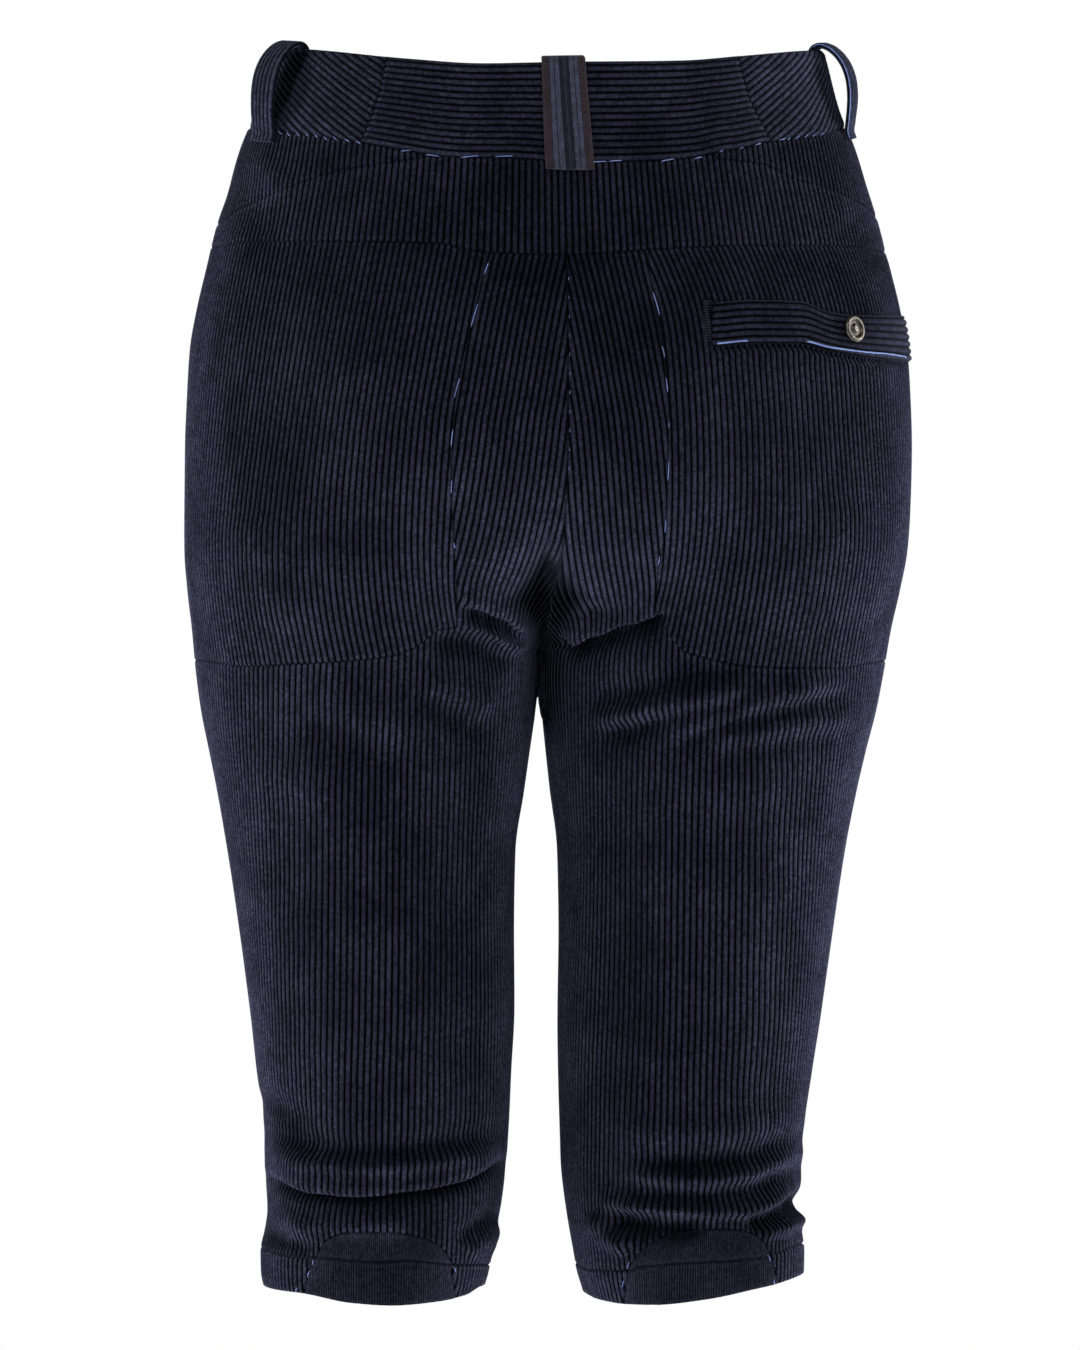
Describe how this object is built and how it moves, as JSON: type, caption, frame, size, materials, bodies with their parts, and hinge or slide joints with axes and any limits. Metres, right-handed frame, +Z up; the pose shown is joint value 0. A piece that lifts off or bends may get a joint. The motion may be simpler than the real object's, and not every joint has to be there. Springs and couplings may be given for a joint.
{
  "type": "corduroy knee breeches",
  "caption": "Knee breeches in navy corduroy with a mitred waistband, back yoke, belt loops, buttoned back pocket flap and knee bands with half-moon gussets.",
  "frame": {"origin": "middle of the waist, half way up the waistband, where the wearer holds the garment", "axes": "+Z up, the garment's front faces -Y and its back +Y, the wearer's left is +X"},
  "size_m": [0.3611, 0.2536, 0.627],
  "materials": {
    "corduroy": "eight-wale corduroy, dark navy, soft nap",
    "fine_cord": "fine-wale corduroy, dark navy",
    "webbing": "woven striped webbing, navy and grey with brown edges",
    "piping": "light blue corded piping",
    "button_metal": "aged dark bronze-grey, satin"
  },
  "bodies": {
    "root": {"waistband_back": "corduroy", "waistband_side_l": "corduroy", "waistband_side_r": "corduroy", "yoke_back": "corduroy", "hip_l": "corduroy", "hip_r": "corduroy", "seat_l": "corduroy", "seat_r": "corduroy", "back_leg_l": "corduroy", "back_leg_r": "corduroy", "front_l": "corduroy", "front_r": "corduroy", "fly": "corduroy", "cuff_l": "corduroy", "cuff_r": "corduroy", "cuff_insert_l": "fine_cord", "cuff_insert_r": "fine_cord", "knee_gusset_l": "fine_cord", "knee_gusset_r": "fine_cord", "loop_back": "webbing", "loop_side_l": "corduroy", "loop_side_r": "corduroy", "loop_front_l": "corduroy", "loop_front_r": "corduroy", "pocket_flap": "corduroy", "pocket_piping": "piping", "pocket_button": "button_metal", "waist_button": "button_metal"}
  },
  "joints": []
}
